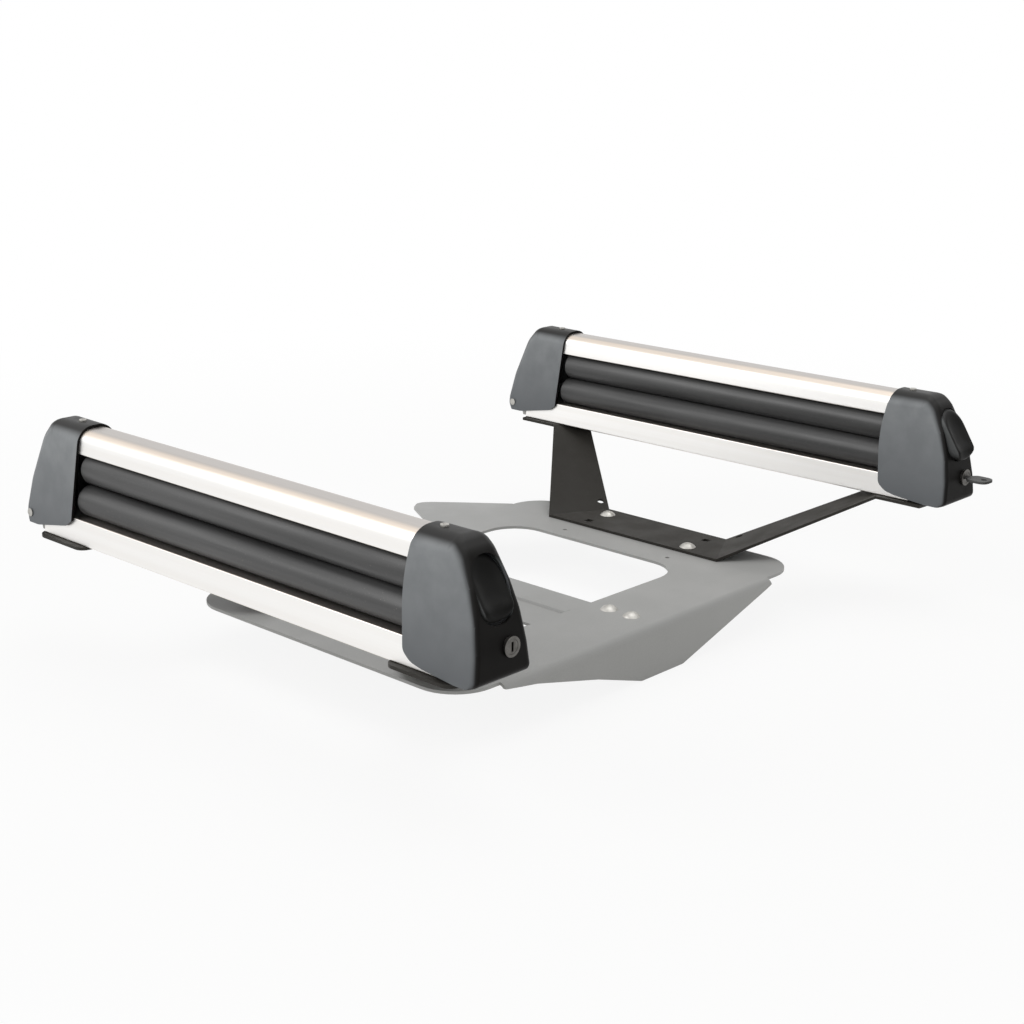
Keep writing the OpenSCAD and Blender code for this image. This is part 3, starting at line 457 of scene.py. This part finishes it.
def buttonOutline(grow):
    half = buttonShape["width"] / 2 + grow
    low, high = buttonShape["low"] - grow, buttonShape["high"] + grow
    lowRound, highRound = buttonShape["lowRound"], buttonShape["highRound"]
    left, right = capMiddle - half, capMiddle + half
    corners = [(left, low), (right, low), (right, high), (left, high)]
    return roundedOutline(corners, (lowRound, lowRound, highRound, highRound))


def makeLockCap(side):
    inner, outer, bottom = lockCap["inner"], lockCap["outer"], lockCap["bottom"]
    wall = capShape["wall"]

    def radiusAt(p):
        # the mouth keeps its edges square, and the sole is rounded only towards the end
        if p.x < inner + 1 and p.y < capTop - lockCap["mouthTop"]:
            return 0
        run = ease(p.x, outer - lockCap["soleRun"], outer) if p.y < lockCap["soleHeight"] else 1
        return capShape["endRound"] * run + crownRadius(lockCap, p)

    mouth = inner - lockCap["bow"]
    foot = [(inner + along, bottom + up) for along, up in lockCap["foot"]]
    outline = [(mouth, lockCap["bowHeight"]), *foot, (outer - lockCap["toe"], bottom), (outer, bottom),
               *slopingEnd(lockCap, outer, 0), (inner + lockCap["crownEdge"], capTop)]
    block = mouldedBlock("block", roundedOutline(outline, lockCap["outerArcs"]), radiusAt, 0, side, 1)
    start, low = mouth - lockCap["pastMouth"], -capShape["pastBelow"]
    hollow = [(start, low), (outer - wall, low), *slopingEnd(lockCap, outer - wall, wall),
              (start, capTop - wall)]
    core = mouldedBlock("core", roundedOutline(hollow, lockCap["innerArcs"]), radiusAt, wall, side, 1)

    # the bulkhead and the lock's boss are left standing in the hollow
    bm = bmesh.new()
    past = capShape["past"]
    addBox(bm, (lockCap["bulkhead"], -past, lockCap["bulkheadFoot"]),
           (lockCap["bulkhead"] + wall, barShape["depth"] + past, capTop + past), side)
    bulkhead = looseObject("bulkhead", meshFrom(bm, "bulkhead"))
    bossPlace = (outer - lockCap["bossLength"] / 2, lockCap["lockY"], lockCap["lockZ"])
    boss = cutterRod("boss", bossPlace, (1, 0, 0), lockCap["lockBore"] + lockCap["bossWall"],
                     lockCap["bossLength"], side)
    core = looseObject("core", carved(core, [bulkhead, boss]))

    edge = buttonOutline(buttonShape["clear"])
    rings = [[Vector((x, *p)) for p in edge] for x in (lockCap["openingFrom"], outer + past)]
    opening = looseObject("opening", meshFrom(loftRings(rings, side), "opening"))
    bore = cutterRod("bore", (outer, lockCap["lockY"], lockCap["lockZ"]), (1, 0, 0), lockCap["lockBore"],
                     2 * past, side)
    pinHole = cutterRod("pinHole", (lockCap["pinX"], capMiddle, lockCap["pinZ"]), (0, 1, 0),
                        lockCap["pinBore"], lockCap["pinLength"], side)
    mesh = carved(block, [core, opening, bore, pinHole, screwCutter(lockCap, 1, side)])
    finishPiece(side + "_lock_cap", mesh, "cap_plastic", side + "_arm")


# as for the lock cap, but foot gives heights over the bar's underside, and the end runs round the pin
hingeCap = {"inner": 232, "pinX": 301, "pinZ": 16, "pinBore": 2.55, "round": 9.5,
            "foot": ((0, 21), (8, 15)), "toe": 14, "slope": ((0, 22), (6, 50), (21, 95)), "crown": 34,
            "crownEdge": -5, "outerArcs": (3, 8, 30, 9.49, 30, 60, 32, 13, 0),
            "innerArcs": (0, 0, 0, 30, 60, 30, 11, 0), "pastMouth": 2,
            "squareBelow": 23, "squareTo": 303, "soleRun": 8, "fade": 0.6, "fadeRun": (264, 284),
            "screw": 248}


def makeHingeCap(side):
    inner, pinX, pinZ = hingeCap["inner"], hingeCap["pinX"], hingeCap["pinZ"]
    wall = capShape["wall"]
    toe = pinX - hingeCap["toe"]

    def radiusAt(p):
        # the mouth and the sole keep their edges square up to the pin
        if p.y < hingeCap["squareBelow"] and p.x < hingeCap["squareTo"]:
            return 0
        run = ease(p.x, pinX, pinX + hingeCap["soleRun"]) if p.y < pinZ else 1
        return capShape["endRound"] * run + crownRadius(hingeCap, p)

    edge = inner + hingeCap["crownEdge"]
    r = hingeCap["round"]
    outline = [*((inner + along, z) for along, z in hingeCap["foot"]), (toe, pinZ - r), (pinX + r, pinZ - r),
               *slopingEnd(hingeCap, pinX + r, 0), (edge, capTop)]
    block = mouldedBlock("block", roundedOutline(outline, hingeCap["outerArcs"]), radiusAt, 0, side, -1)
    past, low = hingeCap["pastMouth"], -capShape["pastBelow"]
    r -= wall
    hollow = [(inner - past, low), (toe, low), (pinX + r, pinZ - r), *slopingEnd(hingeCap, pinX + r, wall),
              (edge - past, capTop - wall)]
    core = mouldedBlock("core", roundedOutline(hollow, hingeCap["innerArcs"]), radiusAt, wall, side, -1)
    pinHole = cutterRod("pinHole", (-pinX, capMiddle, pinZ), (0, 1, 0), hingeCap["pinBore"],
                        barShape["depth"] + 2 * capShape["past"], side)
    mesh = carved(block, [core, pinHole, screwCutter(hingeCap, -1, side)])
    finishPiece(side + "_hinge_cap", mesh, "cap_plastic", side + "_arm")


for side in armPlace:
    makeLockCap(side)
    makeHingeCap(side)
print("end caps made")


def buttonFace(z):
    # how far out the thumb face stands at a height when the button is released
    out, knee = lockCap["outer"] + buttonShape["proud"], buttonShape["low"] + buttonShape["kneeUp"]
    if z < knee:
        return out - buttonShape["footBack"] * ((knee - z) / buttonShape["kneeUp"]) ** 2
    before, after = buttonShape["blend"]
    return out - buttonShape["slope"] * (z - knee) * ease(z, knee - before, knee + after)


def makeButton(side, pressed):
    outline = buttonOutline(0)
    middle = Vector((capMiddle, (buttonShape["low"] + buttonShape["high"]) / 2))
    shift = Vector((-buttonShape["travel"] * pressed, 0, 0))
    backRing = []
    for p in outline:
        depth = buttonShape["lowDepth"] if p.y < buttonShape["step"] else buttonShape["highDepth"]
        backRing.append(Vector((lockCap["outer"] - depth, *p)) + shift)
    rings = [backRing]
    for inward, height in buttonShape["dish"]:
        spots = [p + (middle - p) * inward for p in outline]
        rings.append([Vector((buttonFace(q.y) + height, *q)) + shift for q in spots])
    bm = loftRings(rings, side)
    addBox(bm, *(Vector(corner) + shift for corner in buttonShape["rod"]), side)
    mesh = meshFrom(bm, "button")
    finishPiece(side + "_button", mesh, "button_plastic", side + "_button_body", smoothBelow=50)


makeButton("rear", 0)
makeButton("front", 1)
print("push buttons made")

# a pad is a tube: lip is the section of its open end, from the bore's floor round the rim to the skin, as
# distances from the end and from the skin, and short is what each pad lacks at its far end
padShape = {"half": 229, "inset": 0.2, "gap": 0.3, "edge": 1.2, "halfSteps": 14, "stations": 12,
            "lip": ((30, 3.2), (0.8, 3.2), (0, 2.6), (0, 1.2), (0.5, 0.4), (1.2, 0)),
            "lowerShort": 1, "upperShort": 4}
padHeight = (barShape["pads"] - padShape["gap"]) / 2


def makePad(node, side, body, low, short):
    # the oval rubber tube between two leaning faces, from a height low
    front = barShape["lean"] * (low + padHeight / 2) + padShape["inset"]
    r = padHeight / 2
    half, edge = padShape["half"], padShape["edge"]

    def oval(x, shrink):
        points = []
        for centre, start in ((front + r, 90), (barShape["depth"] - front - r, -90)):
            for k in range(padShape["halfSteps"] + 1):
                angle = radians(start + 180 * k / padShape["halfSteps"])
                across, up = (r - shrink) * cos(angle), (r - shrink) * sin(angle)
                points.append(Vector((x, centre + across, low + r + up)))
        return points

    farEnd = [oval(short - half + along, shrink) for along, shrink in padShape["lip"]]
    step = (2 * half - 2 * edge) / padShape["stations"]
    skin = [oval(k * step + edge - half, 0) for k in range(1, padShape["stations"])]
    nearEnd = [oval(half - along, shrink) for along, shrink in reversed(padShape["lip"])]
    bm = loftRings(farEnd + skin + nearEnd, side)
    finishPiece(node, meshFrom(bm, node), "pad_rubber", body, smoothBelow=50)


# pieces of each carrier that keep their CAD shape: slot, body, rounding of the edges and its segments
carrierPieces = {
    "upper_bar": ("bar_aluminium", "arm", 0, 2),
    "hinge_block": ("cast_zinc", "stand", 0.3, 2),
    "strike": ("cast_zinc", "stand", 0.3, 2),
    "t_bolts": ("fastener_steel", "stand", 0.2, 2),
    "t_nuts": ("fastener_steel", "stand", 0.2, 2),
    "cap_screws": ("fastener_steel", "arm", 0.15, 2),
    "hinge_pin": ("fastener_steel", "arm", 0.15, 2),
    "hook_pin": ("fastener_steel", "arm", 0.15, 2),
    "button_spring": ("fastener_steel", "arm", 0, 2),
    "lock_housing": ("lock_steel", "arm", 0.3, 3),
    "latch_hook": ("cast_zinc", "hook_body", 0.3, 2),
    "lock_plug": ("lock_steel", "lock_barrel", 0.25, 2),
    "lock_cam": ("cast_zinc", "lock_barrel", 0.2, 2),
}
for side in armPlace:
    upperLow = barShape["lower"] + barShape["pads"] - padHeight
    makePad(side + "_lower_pad", side, "stand", barShape["lower"], padShape["lowerShort"])
    makePad(side + "_upper_pad", side, side + "_arm", upperLow, padShape["upperShort"])
    softCopy(side + "_lower_bar", "bar_aluminium", "stand", 0, longer=barShape["underCap"])
    for part, (slotName, body, width, segments) in carrierPieces.items():
        rider = body if body == "stand" else side + "_" + body
        softCopy(side + "_" + part, slotName, rider, width, segments)
softCopy("rear_key", "key_plastic", "rear_lock_barrel", 0.4)
print("pads, bars, locks and inner pieces made")


def seenRays(tree):
    # 1 for rays that show a surface itself, in a reflection or through glass, and 0 for the light it throws
    rays = addNode(tree, "LightPath").outputs
    seen = rays["Is Camera Ray"]
    for kind in ("Is Glossy Ray", "Is Transmission Ray"):
        seen = addNode(tree, "Math", {0: seen, 1: rays[kind]}, operation="MAXIMUM").outputs[0]
    return seen


# a sweep of matt paper that takes a soft shadow under a white studio, in metres: the paper's glow grows from
# nearGlow to full between the two distances of glowRun
studio = {"radius": 9, "under": 0.0005, "nearGlow": 0.88, "glowRun": (0.45, 1.7), "ambient": 0.45}
bm = bmesh.new()
bmesh.ops.create_circle(bm, cap_ends=True, segments=64, radius=studio["radius"])
floor = looseObject("floor", meshFrom(bm, "floor"))
floor.location.z = cadLow.z - studio["under"]
paper, tree, shader = startMaterial("paperFloor", Base_Color="#f4f4f2", Roughness=0.9)
place = addNode(tree, "TexCoord").outputs["Object"]
reach = addNode(tree, "VectorMath", {0: place}, operation="LENGTH").outputs["Value"]
glowFrom, glowTo = studio["glowRun"]
level = addNode(tree, "MapRange", {"Value": reach, "From Min": glowFrom, "From Max": glowTo,
                                   "To Min": studio["nearGlow"]}, interpolation_type="SMOOTHSTEP")
share = addNode(tree, "Math", {0: seenRays(tree), 1: level.outputs[0]}, operation="MULTIPLY")
glow = addNode(tree, "Emission", {"Color": "#ffffff", "Strength": 1.0})
blend = addNode(tree, "MixShader", {0: share.outputs[0], 1: shader.outputs[0], 2: glow.outputs[0]})
tree.links.new(blend.outputs[0], tree.nodes["Material Output"].inputs["Surface"])
floor.data.materials.append(paper)

world = bpy.data.worlds.new("studio")
bpy.context.scene.world = world
world.use_nodes = True
tree = world.node_tree
ambient = tree.nodes["Background"]
ambient.inputs["Color"].default_value = fromHex("#ffffff")
level = addNode(tree, "MapRange", {"Value": seenRays(tree), "To Min": studio["ambient"]})
tree.links.new(level.outputs[0], ambient.inputs["Strength"])

# place and width in metres, and power in watts
softBoxes = {"key": ((-1.9, -3.0, 2.4), 2.4, 62), "fill": ((3.0, 0.4, 1.8), 2.2, 5),
             "top": ((0.2, 0.6, 3.2), 2.6, 26)}
standMiddle = Vector((0, 0, 0.1))
for name, (place, size, power) in softBoxes.items():
    lamp = bpy.data.lights.new(name, "AREA")
    lamp.shape = "SQUARE"
    lamp.size = size
    lamp.energy = power
    box = looseObject(name, lamp)
    box.location = place
    box.rotation_mode = "QUATERNION"
    box.rotation_quaternion = (Vector(place) - standMiddle).to_track_quat("Z", "Y")
bpy.context.scene.view_settings.view_transform = "Standard"
print("floor and lights made")
